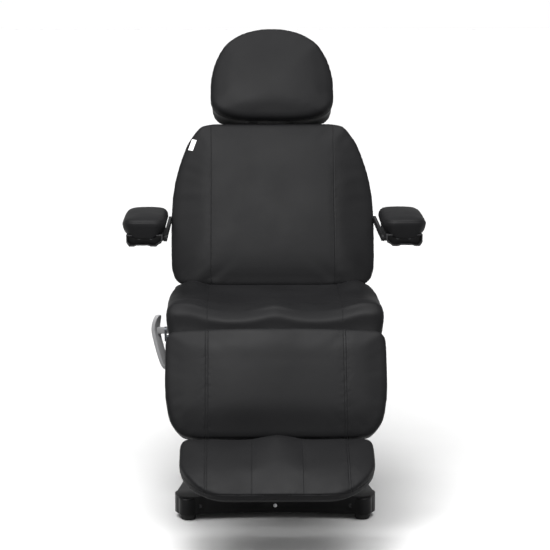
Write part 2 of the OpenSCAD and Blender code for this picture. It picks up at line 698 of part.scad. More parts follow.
module footrest_frame() {
    bracket = 121;
    color("black") on_foot() difference() {
        union() {
            translate([0, -foot_l / 2 - 4, foot_under - 10]) linear_extrude(9.7)
                polygon([for (p = ring(12, function (u, v) foot_at(u, v)))
                    [p[0] * (1 - 28 / foot_w), p[1] * (1 - 32 / foot_l)]]);
            pair() plate_x([bracket, bracket + plate_t])
                strap([[0, 0], [-32, 0], [-32, foot_under - 11], [-90, foot_under - 11]], 18);
        }
        pair() rod_x([bracket - 1, bracket + plate_t + 1], [0, 0], 6 + run);
        pair() block([bracket - 5, bracket + 12], [-110, 20], [foot_under - 0.3, foot_under + 20]);
    }
}

function foot_at(u, v) =
    let (p = plan(u, v, foot_w / 2, foot_l / 2, v < 0 ? 118 : 30))
    [p[0] * (1 - 0.05 * pow(max(0, -v), 1.5)), p[1]];
foot_spot = function (u, v, t)
    let (hw = foot_w / 2, hl = foot_l / 2, p = foot_at(u, v),
         bow = 4 * (1 - pow(abs(u), 2)) + 12 * bump(p[0], 48) * shelf(v, -0.9, 0.8),
         top = foot_t - 3 + bow * (1 - pow(abs(v), 8)) * 0.8 + bow * 0.2
               - max(fall((1 - abs(u)) * hw, 14), fall((1 - abs(v)) * hl, 12))
               - groove(p[0], seam_x) * 0.8 - groove(p[0], 70) * 0.6,
         s = side(t) * 0.8)
    [p[0] * (1 - s / hw), -hl - 2 + p[1] * (1 - s / hl), foot_under + mix(top, 0, t)];

module footrest_cushion() {
    hw = foot_w / 2;
    us = both(concat([0.12], sewn(70, hw), [0.5], sewn(seam_x, hw), [0.86], rim(hw, 14)));
    vs = both(concat([0.3, 0.55, 0.75], rim(foot_l / 2, 12)));
    color("dimgray") on_foot() padded(us, vs, [0.15, 0.5, 0.85, 1], foot_spot);
}

// Swivel lock: hand lever, its shaft and the sprung plug that it lifts off the bearing plate

lever_x = -cushion_w / 2 - 38;        // middle of the lever's bend
hub_z = lock_z + lever_rise;
flange = [-cushion_w / 2 - 12, -cushion_w / 2 - 6];

// Flat bar with round ends between two places beside the chair
module lever_bar(a, b, w) {
    d = b - a;
    translate([a[0], 0, a[1]]) rotate([0, atan2(d[0], d[1]), 0]) plate_x([-6.5, 6.5]) strap([[0, 0], [0, norm(d)]], w);
}

// Bent hand lever with the hub that carries it
module lock_lever() {
    color("lightgray") union() {
        translate([lever_x, lock_y, hub_z]) rotate([0, 0, -26]) {
            lever_bar([0, 4], [10, 32], 36);
            lever_bar([0, 4], [11, -52], 37);
            lever_bar([11, -52], [26, -92], 34);
        }
        rod_x([lever_x, flange[0] - 0.2], [lock_y, hub_z], 9.5);
    }
}

// Shaft with the lever's offset flange and the finger that lifts the plug by its head
module lock_shaft() {
    color("silver") union() {
        plate_x(flange) strap([[lock_y, hub_z], [lock_y, lock_z]], 22);
        rod_x([flange[0] + 1, plunger[0] - 10], [lock_y, lock_z], pin_r);
        plate_x([plunger[0] - 14, plunger[0] - 10])
            strap([[lock_y, lock_z], [lock_y + 8, lock_z - 8], [plunger[1] + 4, lock_z - 8]], 9);
    }
}

module lock_plug() {
    color("silver") union() {
        translate([plunger[0], plunger[1], turn_z - 1.5]) cylinder(h = lock_z - turn_z, r = 6);
        translate([plunger[0], plunger[1], lock_z - 3]) cylinder(h = 3, r = 13);
    }
}

// Turntable

module turning_plate() {
    bush = [plunger[0], plunger[1], turn_z];
    color("silver") difference() {
        union() {
            translate([0, col_y, turn_z]) cylinder(h = turn_t, r = turn_r);
            translate([0, col_y, turn_z + turn_t - 0.01]) cylinder(h = 14, r = 28);
            translate(bush) cylinder(h = 26, r = 11);
        }
        translate([0, col_y, turn_z - 1]) cylinder(h = 40, r = 15 + run);
        translate(bush - [0, 0, 1]) cylinder(h = 40, r = 6 + run);
    }
}

module bearing_plate() {
    top = turn_z - 2;
    color("silver") union() {
        translate([0, col_y, top - 10]) cylinder(h = 10, r = turn_r);
        translate([0, col_y, top - 0.01]) cylinder(h = turn_t + 12, r = 15);
    }
}

module slew_ring() {
    color("gainsboro") translate([0, col_y, turn_z - 2]) difference() {
        cylinder(h = 1.7, r = turn_r - 30);
        translate([0, 0, -1]) cylinder(h = 4, r = turn_r - 50);
    }
}

// Column

tube_t = 4;
inner_a = column_a - 2 * tube_t - 5;
tube_top = turn_z - 12;
frame_top = base_h - wall - 1;

module square_tube(a, t, z) {
    translate([0, col_y, 0]) difference() {
        block([-a / 2, a / 2], [-a / 2, a / 2], z);
        block([-a / 2 + t, a / 2 - t], [-a / 2 + t, a / 2 - t], [z[0] - 1, z[1] + 1]);
    }
}

module outer_tube() {
    color("silver") square_tube(column_a, tube_t, [frame_top, tube_top - 14]);
}

module inner_tube() {
    color("silver") square_tube(inner_a, tube_t, [frame_top + 12, tube_top]);
}

// Nylon glides, fixed in the outer tube
module column_glides() {
    a = inner_a + 0.6;
    color("ivory") for (z = [tube_top - 74, tube_top - 214])
        square_tube(column_a - 2 * tube_t - 0.2, (column_a - 2 * tube_t - 0.2 - a) / 2, [z, z + 60]);
}

module lower_sleeve() {
    color("black") translate([0, col_y, base_h + 16.3]) difference() {
        cylinder(h = tube_top - base_h - 32, r = sleeve_r);
        translate([0, 0, -1]) cylinder(h = 400, r = sleeve_r - wall);
    }
}

module upper_sleeve() {
    color("black") translate([0, col_y, 0]) difference() {
        translate([0, 0, base_h + 36]) cylinder(h = tube_top - base_h - 36.3, r = sleeve_r + wall + 1.5);
        translate([0, 0, base_h + 30]) cylinder(h = tube_top - base_h - 30 - wall, r = sleeve_r + 1.5);
        translate([0, 0, tube_top - 10]) cylinder(h = 20, r = inner_a / 2 * sqrt(2) + 0.5);
    }
}

module lift_drive() {
    color("dimgray") translate([0, col_y, 0]) difference() {
        union() {
            translate([0, 0, frame_top + 0.3]) cylinder(h = 60, r = 34);
            translate([0, 0, frame_top + 60]) cylinder(h = 220, r = 24);
        }
        translate([0, 0, frame_top + 20]) cylinder(h = 300, r = 12 + run);
    }
}

module lift_rod() {
    color("silver") translate([0, col_y, 0]) union() {
        translate([0, 0, frame_top + 30]) cylinder(h = tube_top - frame_top - 30.3, r = 12);
        translate([0, 0, tube_top - 9]) cylinder(h = 8.7, r = 30);
    }
}

// Base

foot_x = base_w / 2 - 39;
foot_y = base_l / 2 - 19;

module corners() {
    for (x = [-1, 1], y = [-1, 1]) translate([x * foot_x, col_y + y * foot_y, 0]) children();
}

// Plan of the base, drawn in by d: round corner pods with bowed sides between them
module base_plan(d) {
    hw = base_w / 2;
    hl = base_l / 2;
    reach_x = hw - pod_r;
    reach_y = hl - pod_r;
    big_x = (reach_x * reach_x + base_bow * base_bow) / (2 * base_bow);
    big_y = (reach_y * reach_y + base_bow * base_bow) / (2 * base_bow);
    for (x = [-1, 1], y = [-1, 1]) translate([x * reach_x, y * reach_y]) circle(r = pod_r - d);
    difference() {
        square([base_w - 2 * d - 2 * 8, base_l - 2 * d - 2 * 8], center = true);
        for (s = [-1, 1]) {
            translate([0, s * (hl - base_bow + big_x)]) circle(r = big_x + d, $fn = 240);
            translate([s * (hw - base_bow + big_y), 0]) circle(r = big_y + d, $fn = 240);
            for (t = [-1, 1]) translate([s * (hw - pod_r + 25), t * (hl - pod_r + 25)])
                square([50, 50], center = true);
        }
    }
}

// Half section of a round housing of radius r and height h with its upper edge rounded
function housing(r, h, e) = concat([[0, 0], [r, 0]],
    [for (a = [0 : 15 : 90]) [r - e * (1 - cos(a)), h - e * (1 - sin(a))]], [[0, h]]);

module base_cover() {
    color("black") translate([0, col_y, 0]) difference() {
        union() {
            translate([0, 0, base_gap]) linear_extrude(base_h - base_gap) base_plan(0);
            // Raised collar round the column
            rotate_extrude($fn = 96) polygon(concat([[sleeve_r - 20, base_h - 1], [150, base_h - 1]],
                [for (a = [0 : 15 : 90]) [sleeve_r + 14 + 45 * (1 - sin(a)), base_h + 16 - 16 * cos(a)]],
                [[sleeve_r - 20, base_h + 16]]));
            // Round housings over the feet, proud of the front and rear faces
            translate([0, -col_y, base_gap]) corners() rotate_extrude()
                polygon(housing(foot_r + 5, base_h - base_gap - 5, 5));
        }
        translate([0, 0, base_gap - 1]) linear_extrude(base_h - base_gap - wall + 1) base_plan(wall);
        translate([0, -col_y, base_gap - 1]) corners() rotate_extrude()
            polygon(housing(foot_r + 5 - wall, base_h - base_gap - 4 - wall, 3));
        translate([0, 0, base_gap]) cylinder(h = 100, r = column_a / 2 * sqrt(2) + 1);
        // Seat of the mains inlet, and the front screw's hole
        block([-14.2, 14.2], [base_l / 2 - base_bow - 20, base_l / 2], [base_gap + 15.8, base_gap + 36.2]);
        rod_y([-base_l / 2, -base_l / 2 + 60], 0, base_gap + 21, 3);
    }
}

module base_frame() {
    z = [base_gap + 8, base_gap + 33];
    cross_y = foot_y - 34;
    color("black") translate([0, col_y, 0]) difference() {
        union() {
            for (s = [-1, 1]) {
                block([-foot_x, foot_x], [s * cross_y - 20, s * cross_y + 20], z);
                block([s * 70 - 20, s * 70 + 20], [-cross_y, cross_y], [z[0], z[1] - 0.01]);
            }
            for (x = [-1, 1], y = [-1, 1]) translate([x * foot_x, y * foot_y, z[0]]) cylinder(h = z[1] - z[0] + 0.01, r = 22);
            block([-95, 95], [-95, 95], [z[1] - 1, frame_top]);
        }
        for (s = [-1, 1]) block([-foot_x + 28, foot_x - 28],
            [s * cross_y - 17, s * cross_y + 17], [z[0] + 3, z[1] - 3]);
        // Room for the mains inlet
        block([-18, 18], [cross_y + 2, cross_y + 40], [z[0] - 1, z[1] + 1]);
        for (x = [-1, 1], y = [-1, 1]) translate([x * foot_x, y * foot_y, z[0] - 1]) cylinder(h = 40, r = 5 + run);
        for (x = [-60, 60], y = [-60, 60]) translate([x, y, z[1]]) cylinder(h = 40, r = 5.5);
    }
}

module levelling_feet() {
    color("black") corners() union() {
        rotate_extrude() polygon([[0, 0], [foot_r - 3, 0], [foot_r, 4], [foot_r, 14], [foot_r - 4, base_gap - 0.5],
            [8, base_gap - 0.5], [8, base_gap + 7.5], [0, base_gap + 7.5]]);
        translate([0, 0, base_gap + 7]) cylinder(h = 28, r = 5);
    }
}

module front_screw() {
    y = col_y - base_l / 2 + base_bow;
    color("silver") difference() {
        union() {
            translate([0, y - 0.2, base_gap + 21]) rotate([90, 0, 0]) cylinder(h = 2.5, r = 5.5);
            rod_y([y - 0.3, y + 7], 0, base_gap + 21, 2.8);
        }
        rod_y([y - 4, y - 1.2], 0, base_gap + 21, 2.4);
    }
}

module mains_inlet() {
    y = col_y + base_l / 2 - base_bow;
    zc = base_gap + 26;
    color("black") union() {
        difference() {
            union() {
                block([-14, 14], [y - 22, y + 1], [zc - 10, zc + 10]);
                block([-25, 25], [y + 0.6, y + 3.2], [zc - 12, zc + 12]);
            }
            block([-12, 12], [y - 17, y + 4], [zc - 8, zc + 8]);
        }
        for (x = [-7, 0, 7]) block([x - 1, x + 1], [y - 18, y - 3], [zc - 2 + (x == 0 ? 2 : -1), zc + 2 + (x == 0 ? 2 : -1)]);
    }
}

base_frame();
base_cover();
levelling_feet();
front_screw();
mains_inlet();
outer_tube();
column_glides();
lower_sleeve();
lift_drive();
inner_tube();
upper_sleeve();
lift_rod();
bearing_plate();
slew_ring();
turning_plate();
seat_frame();
seat_board();
seat_cushion();
leg_hinge_shaft();
back_hinge_pins();
control_box();
leg_drive();
back_drive();
drive_pins();
leg_drive_rod();
back_drive_rod();
lock_lever();
lock_shaft();
lock_plug();
back_frame();
back_board();
back_cushion();
back_cover();
headrest_posts();
headrest_board();
headrest_cushion();
armrest_bar(-1);  // armrest_bar_left
armrest_tray(-1);  // armrest_tray_left
armrest_pad(-1);  // armrest_pad_left
armrest_bar(1);  // armrest_bar_right
armrest_tray(1);  // armrest_tray_right
armrest_pad(1);  // armrest_pad_right
legrest_frame();
legrest_board();
legrest_cushion();
footrest_slide();
footrest_pins();
footrest_frame();
footrest_cushion();
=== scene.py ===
import json
import math

import bmesh
import bpy
import numpy as np
from mathutils import Matrix, Vector, noise


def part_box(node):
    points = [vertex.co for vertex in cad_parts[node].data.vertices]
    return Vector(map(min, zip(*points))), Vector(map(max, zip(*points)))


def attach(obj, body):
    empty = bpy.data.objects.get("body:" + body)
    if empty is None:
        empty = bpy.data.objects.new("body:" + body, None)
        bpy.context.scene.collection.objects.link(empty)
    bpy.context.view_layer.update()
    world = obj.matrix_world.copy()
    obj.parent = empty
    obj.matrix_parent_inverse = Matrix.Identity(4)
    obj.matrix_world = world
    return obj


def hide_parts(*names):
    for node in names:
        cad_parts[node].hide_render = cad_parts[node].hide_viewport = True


# A beauty treatment chair, dressed around its frame: metres, Z up, the front towards -Y

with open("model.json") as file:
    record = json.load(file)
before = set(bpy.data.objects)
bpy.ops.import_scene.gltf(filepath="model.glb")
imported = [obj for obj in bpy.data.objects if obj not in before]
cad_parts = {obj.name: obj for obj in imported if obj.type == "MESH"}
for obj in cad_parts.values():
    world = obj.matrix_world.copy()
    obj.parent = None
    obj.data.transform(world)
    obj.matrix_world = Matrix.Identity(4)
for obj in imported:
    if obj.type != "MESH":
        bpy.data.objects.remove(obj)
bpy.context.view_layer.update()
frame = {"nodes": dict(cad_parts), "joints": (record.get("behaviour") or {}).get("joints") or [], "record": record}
scene = bpy.context.scene


# Camera, fitted to the photograph: about 6 m away, looking slightly down

DOWN, TURN = 9.4, -0.85
camera = bpy.data.objects.new("camera", bpy.data.cameras.new("camera"))
scene.collection.objects.link(camera)
camera.location = (-0.0875, -6.034, 1.68)
camera.rotation_euler = (math.radians(90 - DOWN), 0, math.radians(TURN))
camera.data.lens = 136.15
camera.data.sensor_width = 36
scene.camera = camera


# Colours and nodes

def colour(code):
    """Linear colour of an sRGB hex value."""
    parts = [int(code[i:i + 2], 16) / 255 for i in (0, 2, 4)]
    return [c / 12.92 if c <= 0.04045 else ((c + 0.055) / 1.055) ** 2.4 for c in parts] + [1]


def add(tree, kind, settings=None, stops=(), **inputs):
    """Adds a node with its settings and a ramp's stops, and gives its inputs values or links. An
    input is named, with _ for a space, or numbered, as in i0."""
    node = tree.nodes.new(kind)
    for name, value in (settings or {}).items():
        setattr(node, name, value)
    if stops:
        elements = node.color_ramp.elements
        while len(elements) < len(stops):
            elements.new(0.5)
        for element, (at, code) in zip(elements, stops):
            element.position = at
            element.color = colour(code)
    for name, value in inputs.items():
        numbered = name[0] == "i" and name[1:].isdigit()
        socket = node.inputs[int(name[1:]) if numbered else name.replace("_", " ")]
        if isinstance(value, bpy.types.NodeSocket):
            tree.links.new(value, socket)
        else:
            socket.default_value = value
    return node


def material(name):
    """A new material. Returns it with its empty tree and its place on the object."""
    mat = bpy.data.materials.new(name)
    mat.use_nodes = True
    tree = mat.node_tree
    tree.nodes.clear()
    return mat, tree, add(tree, "ShaderNodeTexCoord").outputs["Object"]


def coat(mat, **shader):
    """Closes a material with one Principled shader."""
    surface = add(mat.node_tree, "ShaderNodeBsdfPrincipled", **shader)
    add(mat.node_tree, "ShaderNodeOutputMaterial", Surface=surface.outputs[0])
    return mat


# Materials

def coated_fabric(name):
    # Polyurethane coated fabric, embossed with a fine pebble grain: near black and satin, slightly
    # cloudy in tone and gloss, with broad soft dents. The real grain of about 0.9 mm is drawn at
    # 2.2 mm so that it shows.
    mat, tree, place = material(name)
    grain = add(tree, "ShaderNodeTexVoronoi", {"feature": "SMOOTH_F1"}, Vector=place,
                Scale=1 / 0.0022, Smoothness=0.6, Randomness=0.9)
    cloud = add(tree, "ShaderNodeTexNoise", Vector=place, Scale=1 / 0.16, Detail=3.0).outputs["Fac"]
    fold = add(tree, "ShaderNodeTexNoise", Vector=place, Scale=1 / 0.045, Detail=2.0,
               Distortion=0.6)
    tone = add(tree, "ShaderNodeValToRGB", stops=[(0.3, "0c0c0d"), (0.7, "0f0f10")], Fac=cloud)
    satin = add(tree, "ShaderNodeMapRange", i0=cloud, i1=0.3, i2=0.7, i3=0.5, i4=0.62)
    slack = add(tree, "ShaderNodeBump", Strength=0.25, Distance=0.0012, Height=fold.outputs["Fac"])
    pebble = add(tree, "ShaderNodeBump", Strength=0.22, Distance=0.0005,
                 Height=grain.outputs["Distance"], Normal=slack.outputs[0])
    return coat(mat, Base_Color=tone.outputs[0], Roughness=satin.outputs[0], IOR=1.45,
                Specular_IOR_Level=0.1, Normal=pebble.outputs[0])


def moulded(name, code, dark, rough=0.42, gloss=0.2):
    # Injection moulded ABS, rubber or nylon with a fine spark eroded texture of 0.5 mm, drawn at
    # 1.2 mm so that it shows: an even satin surface with a soft highlight.
    mat, tree, place = material(name)
    texture = add(tree, "ShaderNodeTexNoise", Vector=place, Scale=1 / 0.0012, Detail=2.0)
    flow = add(tree, "ShaderNodeTexNoise", Vector=place, Scale=1 / 0.12, Detail=2.0).outputs["Fac"]
    tone = add(tree, "ShaderNodeValToRGB", stops=[(0.3, dark), (0.7, code)], Fac=flow)
    satin = add(tree, "ShaderNodeMapRange", i0=flow, i1=0.3, i2=0.7, i3=rough - 0.05,
                i4=rough + 0.06)
    sparks = add(tree, "ShaderNodeBump", Strength=0.18, Distance=0.0003,
                 Height=texture.outputs["Fac"])
    return coat(mat, Base_Color=tone.outputs[0], Roughness=satin.outputs[0], IOR=1.53,
                Specular_IOR_Level=gloss, Normal=sparks.outputs[0])


def powder_coat(name, code, dark):
    # Polyester powder coat on welded steel: a low orange peel of about 3 mm under a satin skin.
    mat, tree, place = material(name)
    peel = add(tree, "ShaderNodeTexNoise", Vector=place, Scale=1 / 0.003, Detail=1.0)
    dust = add(tree, "ShaderNodeTexNoise", Vector=place, Scale=1 / 0.07, Detail=4.0).outputs["Fac"]
    tone = add(tree, "ShaderNodeValToRGB", stops=[(0.35, dark), (0.65, code)], Fac=dust)
    satin = add(tree, "ShaderNodeMapRange", i0=dust, i1=0.35, i2=0.65, i3=0.56, i4=0.68)
    skin = add(tree, "ShaderNodeBump", Strength=0.12, Distance=0.0003, Height=peel.outputs["Fac"])
    return coat(mat, Base_Color=tone.outputs[0], Roughness=satin.outputs[0], IOR=1.5,
                Specular_IOR_Level=0.2, Normal=skin.outputs[0])


def metal(name, code, dark, rough, brush=None):
    # Bare or plated metal: slight stains vary the gloss, and ground marks run along the piece
    # where brush gives their spacing in metres.
    mat, tree, place = material(name)
    stain = add(tree, "ShaderNodeTexNoise", Vector=place, Scale=1 / 0.03, Detail=4.0).outputs["Fac"]
    tone = add(tree, "ShaderNodeValToRGB", stops=[(0.3, dark), (0.7, code)], Fac=stain)
    shine = add(tree, "ShaderNodeMapRange", i0=stain, i1=0.3, i2=0.7, i3=rough - 0.06,
                i4=rough + 0.08)
    shader = {"Base_Color": tone.outputs[0], "Metallic": 1.0, "Roughness": shine.outputs[0]}
    if brush:
        long = add(tree, "ShaderNodeMapping", Vector=place, Scale=(1.0, 0.05, 1.0))
        marks = add(tree, "ShaderNodeTexNoise", Vector=long.outputs[0], Scale=1 / brush, Detail=2.0)
        ground = add(tree, "ShaderNodeBump", Strength=0.1, Distance=0.0002,
                     Height=marks.outputs["Fac"])
        shader["Normal"] = ground.outputs[0]
    return coat(mat, **shader)


def birch_plywood(name):
    # Birch plywood, sanded and stained near black: straight grain about 4 mm apart with fine
    # pores, drawn at 8 mm so that it shows.
    mat, tree, place = material(name)
    long = add(tree, "ShaderNodeMapping", Vector=place, Scale=(1.0, 0.06, 0.06))
    grain = add(tree, "ShaderNodeTexNoise", Vector=long.outputs[0], Scale=1 / 0.008,
                Detail=5.0).outputs["Fac"]
    tone = add(tree, "ShaderNodeValToRGB", Fac=grain,
               stops=[(0.3, "1d1916"), (0.5, "28221d"), (0.75, "332b25")])
    pores = add(tree, "ShaderNodeBump", Strength=0.2, Distance=0.0003, Height=grain)
    return coat(mat, Base_Color=tone.outputs[0], Roughness=0.62, IOR=1.5, Specular_IOR_Level=0.3,
                Normal=pores.outputs[0])


def ribbon_weave(name):
    # White woven polyester ribbon, blank. Its threads of about 0.2 mm are drawn 0.6 mm apart so
    # that they show. At scale 1, a wave texture has 20 radians to the metre.
    mat, tree, place = material(name)
    fine = 2 * math.pi / 20 / 0.000604
    weft = add(tree, "ShaderNodeTexWave", {"bands_direction": "X"}, Vector=place, Scale=fine)
    warp = add(tree, "ShaderNodeTexWave", {"bands_direction": "Z"}, Vector=place, Scale=fine)
    cloth = add(tree, "ShaderNodeMath", {"operation": "ADD"}, i0=weft.outputs["Fac"],
                i1=warp.outputs["Fac"]).outputs[0]
    tone = add(tree, "ShaderNodeValToRGB", stops=[(0.0, "a6a6a6"), (1.0, "bebebe")], Fac=cloth)
    threads = add(tree, "ShaderNodeBump", Strength=0.3, Distance=0.0003, Height=cloth)
    return coat(mat, Base_Color=tone.outputs[0], Roughness=0.6, IOR=1.5, Sheen_Weight=0.2,
                Normal=threads.outputs[0])


# The finish of each of the record's material slots
FINISH = {
    "eco_leather": coated_fabric("coated_fabric"),
    "base_plastic": moulded("moulded_abs_black", "080809", "050506", 0.38, 0.12),
    "sleeve_plastic": moulded("moulded_abs_sleeve", "202021", "19191a", 0.5),
    "drive_grey": moulded("moulded_abs_drive", "4a4b4d", "404143"),
    "foot_rubber": moulded("moulded_rubber", "1b1b1b", "151515", 0.62),
    "nylon": moulded("turned_nylon", "dcd9cf", "cfcbc0", 0.48),
    "black_steel": powder_coat("powder_coated_steel", "101011", "0c0c0d"),
    "lever_grey": powder_coat("grey_painted_steel", "757576", "6b6b6c"),
    "zinc_steel": metal("black_zinc_plated_steel", "4a4c4f", "3c3e41", 0.45),
    "bright_rod": metal("ground_steel_rod", "c2c4c6", "b3b5b8", 0.2, 0.0008),
    "screw_chrome": metal("chromed_screw", "e2e4e6", "d2d4d6", 0.12),
    "plywood": birch_plywood("stained_birch_plywood"),
}
RIBBON = ribbon_weave("woven_ribbon_white")

for part in frame["record"]["subparts"]:
    mesh = frame["nodes"][part["node"]].data
    mesh.materials.clear()
    mesh.materials.append(FINISH[part["material_slot"]])


# Sections of the chair, each with its own frame: Y along it, Z out of its face

joints = {j["name"]: j for j in frame["joints"]}


def section(angle, hinge=None):
    """The frame of a section that leans by an angle about its hinge."""
    at = Vector(joints[hinge]["pos_m"]) if hinge else Vector()
    return Matrix.Translation(at) @ Matrix.Rotation(math.radians(angle), 4, "X")


LEVEL = section(0)
BACK = section(65, "back_recline")
LEG = section(60, "legrest_lift")
FOOT = section(20, "footrest_tilt")


# Padded pieces

def fetch(mesh):
    """The mesh's points as rows of x, y and z."""
    co = np.empty(len(mesh.vertices) * 3, np.float32)
    mesh.vertices.foreach_get("co", co)
    return co.reshape(-1, 3).astype(float)


def store(mesh, co):
    """Gives the mesh's points new places."""
    mesh.vertices.foreach_set("co", co.astype(np.float32).ravel())
    mesh.update()


def outward(mesh):
    """The direction out of the mesh at each of its points."""
    n = np.empty(len(mesh.vertices) * 3, np.float32)
    mesh.vertex_normals.foreach_get("vector", n)
    return n.reshape(-1, 3).astype(float)


def local(place, co):
    """Points in a section's frame: across, along and out of its face."""
    m = np.array(place.inverted())
    return co @ m[:3, :3].T + m[:3, 3]


def apply_all(obj):
    """Applies every modifier of a piece."""
    bpy.ops.object.select_all(action="DESELECT")
    bpy.context.view_layer.objects.active = obj
    obj.select_set(True)
    for mod in list(obj.modifiers):
        bpy.ops.object.modifier_apply(modifier=mod.name)


def copy_of(node, name):
    """A loose copy of a node's solid, with its doubled points merged."""
    obj = bpy.data.objects.new(name, frame["nodes"][node].data.copy())
    scene.collection.objects.link(obj)
    bm = bmesh.new()
    bm.from_mesh(obj.data)
    bmesh.ops.remove_doubles(bm, verts=bm.verts, dist=1e-5)
    bm.to_mesh(obj.data)
    bm.free()
    return obj


def spread(mesh, move, rounds):
    """Evens a movement out over the mesh, so that taut leather has no sharp creases."""
    edges = np.empty(len(mesh.edges) * 2, np.int32)
    mesh.edges.foreach_get("vertices", edges)
    a, b = edges.reshape(-1, 2).T
    size = len(move)
    count = np.bincount(edges, minlength=size).clip(1)[:, None]
    for _ in range(rounds):
        total = np.stack([np.bincount(a, move[b, i], size) + np.bincount(b, move[a, i], size)
                          for i in range(3)], 1)
        move = 0.5 * move + 0.5 * total / count
    return move


HOLDS, HALF_STEP = (0.25, 0.5, 0.75, 1.0), 0.125
BLOWN_FRAMES, BLOWN_PRESSURE = 14, 4.0


def swell(obj, held, cap, evened):
    """Blows the cover up with a short cloth run, held where it is sewn or rests."""
    group = obj.vertex_groups.new(name="held")
    for value in HOLDS:
        chosen = np.nonzero(np.abs(held - value) < HALF_STEP)[0].tolist()
        if chosen:
            group.add(chosen, value, "REPLACE")
    start = fetch(obj.data)
    mod = obj.modifiers.new("cover", "CLOTH")
    cloth = mod.settings
    cloth.quality = 3
    cloth.mass = 0.3
    cloth.tension_stiffness = cloth.compression_stiffness = 30
    cloth.shear_stiffness = 15
    cloth.bending_stiffness = 3
    cloth.use_pressure = True
    cloth.uniform_pressure_force = BLOWN_PRESSURE
    cloth.vertex_group_mass = "held"
    cloth.pin_stiffness = 1
    cloth.effector_weights.gravity = 0
    mod.collision_settings.use_collision = False
    mod.point_cache.frame_start = 1
    mod.point_cache.frame_end = BLOWN_FRAMES
    for f in range(1, BLOWN_FRAMES + 1):
        scene.frame_set(f)
    apply_all(obj)
    scene.frame_set(1)
    move = fetch(obj.data) - start
    far = np.linalg.norm(move, axis=1, keepdims=True)
    move *= cap * np.tanh(far / cap) / np.maximum(far, 1e-9)
    store(obj.data, start + spread(obj.data, move, evened) * (1 - held)[:, None])


FOLD_CUTS = (-1.6, -0.7, 0, 0.7, 1.6)
FOLD_REACH = 0.008
PUCKER, PUCKER_LENGTH, PUCKER_REACH = 0.0005, 0.011, 0.012


def cut(obj, place, lines):
    """Cuts edges into the cover beside each sewn line, so that its fold can be drawn."""
    bm = bmesh.new()
    bm.from_mesh(obj.data)
    for line in lines:
        normal = (place.to_3x3() @ Vector(line["across"])).normalized()
        for k in FOLD_CUTS:
            aside = Vector(line["across"]).normalized() * k * line["width"]
            at = place @ (Vector(line["at"]) + aside)
            faces = [f for f in bm.faces
                     if abs((f.calc_center_median() - at).dot(normal)) < FOLD_REACH]
            edges = list({e for f in faces for e in f.edges})
            verts = list({v for f in faces for v in f.verts})
            bmesh.ops.bisect_plane(bm, geom=edges + faces + verts, plane_co=at, plane_no=normal,
                                   dist=2e-5)
    bm.to_mesh(obj.data)
    bm.free()


def draw_in(obj, place, lines):
    """Draws each sewn line in, raises its edges and puckers the leather beside it."""
    co, n = fetch(obj.data), outward(obj.data)
    q = local(place, co)
    m = np.array(place)[:3, :3]
    shift = np.zeros(len(co))
    ripple = np.array([noise.noise(Vector(p) / PUCKER_LENGTH) for p in q])
    for line in lines:
        across = np.array(Vector(line["across"]).normalized())
        d = (q - np.array(line["at"])) @ across
        on = line["where"](q, n @ m)
        w = line["width"]
        fold = np.exp(-(d / (0.62 * w)) ** 2)
        lips = 0.22 * np.exp(-((np.abs(d) - 2.0 * w) / (1.1 * w)) ** 2)
        beside = np.exp(-np.abs(d) / PUCKER_REACH) * (1 - np.exp(-(d / w) ** 2))
        shift += on * line["depth"] * (-fold + lips)
        shift += on * PUCKER * ripple * beside
    store(obj.data, co + n * shift[:, None])


SIDE_TURN, SIDE_FADE, SEWN_HOLD = 0.8, 0.3, 0.75
BOARD_HIGH, BOARD_FADE = 0.012, 0.006


def cushion(node, body, place, lines, shape, cap=0.007, voxel=0.0065, soften=18, evened=8):
    """A cover made from the node's solid: formed, rounded at its edges, blown up, then sewn."""
    obj = copy_of(node, node.replace("_cushion", "_upholstery").replace("_pad", "_upholstery"))
    mod = obj.modifiers.new("skin", "REMESH")
    mod.mode = "VOXEL"
    mod.voxel_size = voxel
    apply_all(obj)
    m = np.array(place)[:3, :3]
    foam = local(place, fetch(obj.data))
    foam += shape(foam, foam.min(0), foam.max(0))
    store(obj.data, foam @ m.T + np.array(place.translation))
    mod = obj.modifiers.new("soften", "SMOOTH")
    mod.factor = 0.5
    mod.iterations = soften
    apply_all(obj)
    # The rounding draws the cover in, so it is brought back to the foam's length, width and height.
    # Its sides are held by the sewn band, and its underside rests on the board.
    q = local(place, fetch(obj.data))
    lo, hi = foam.min(0), foam.max(0)
    q = lo + (q - q.min(0)) * (hi - lo) / (q.max(0) - q.min(0))
    store(obj.data, q @ m.T + np.array(place.translation))
    side = np.clip((SIDE_TURN - np.abs((outward(obj.data) @ m)[:, 2])) / SIDE_FADE, 0, 1)
    rests = np.clip((lo[2] + BOARD_HIGH - q[:, 2]) / BOARD_FADE, 0, 1)
    swell(obj, np.maximum(rests, SEWN_HOLD * side), cap, evened)
    mod = obj.modifiers.new("round", "SUBSURF")
    mod.levels = mod.render_levels = 1
    apply_all(obj)
    cut(obj, place, lines)
    draw_in(obj, place, lines)
    bpy.ops.object.select_all(action="DESELECT")
    bpy.context.view_layer.objects.active = obj
    obj.select_set(True)
    bpy.ops.object.shade_smooth()
    obj.data.materials.clear()
    obj.data.materials.append(FINISH["eco_leather"])
    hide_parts(node)
    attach(obj, body)


def along(x, above):
    """A sewn line along the section at a place across it, on the face only."""
    return {"at": (x, 0, 0), "across": (1, 0, 0), "width": 0.0014, "depth": 0.0008,
            "where": lambda q, n: (q[:, 2] > above) * 1.0}


def boxing(z, depth=0.0009):
    """The sewn line round a cushion between its face and its side band."""
    return {"at": (0, 0, z), "across": (0, 0, 1), "width": 0.0016, "depth": depth,
            "where": lambda q, n: (np.abs(n[:, 2]) < 0.93) * 1.0}


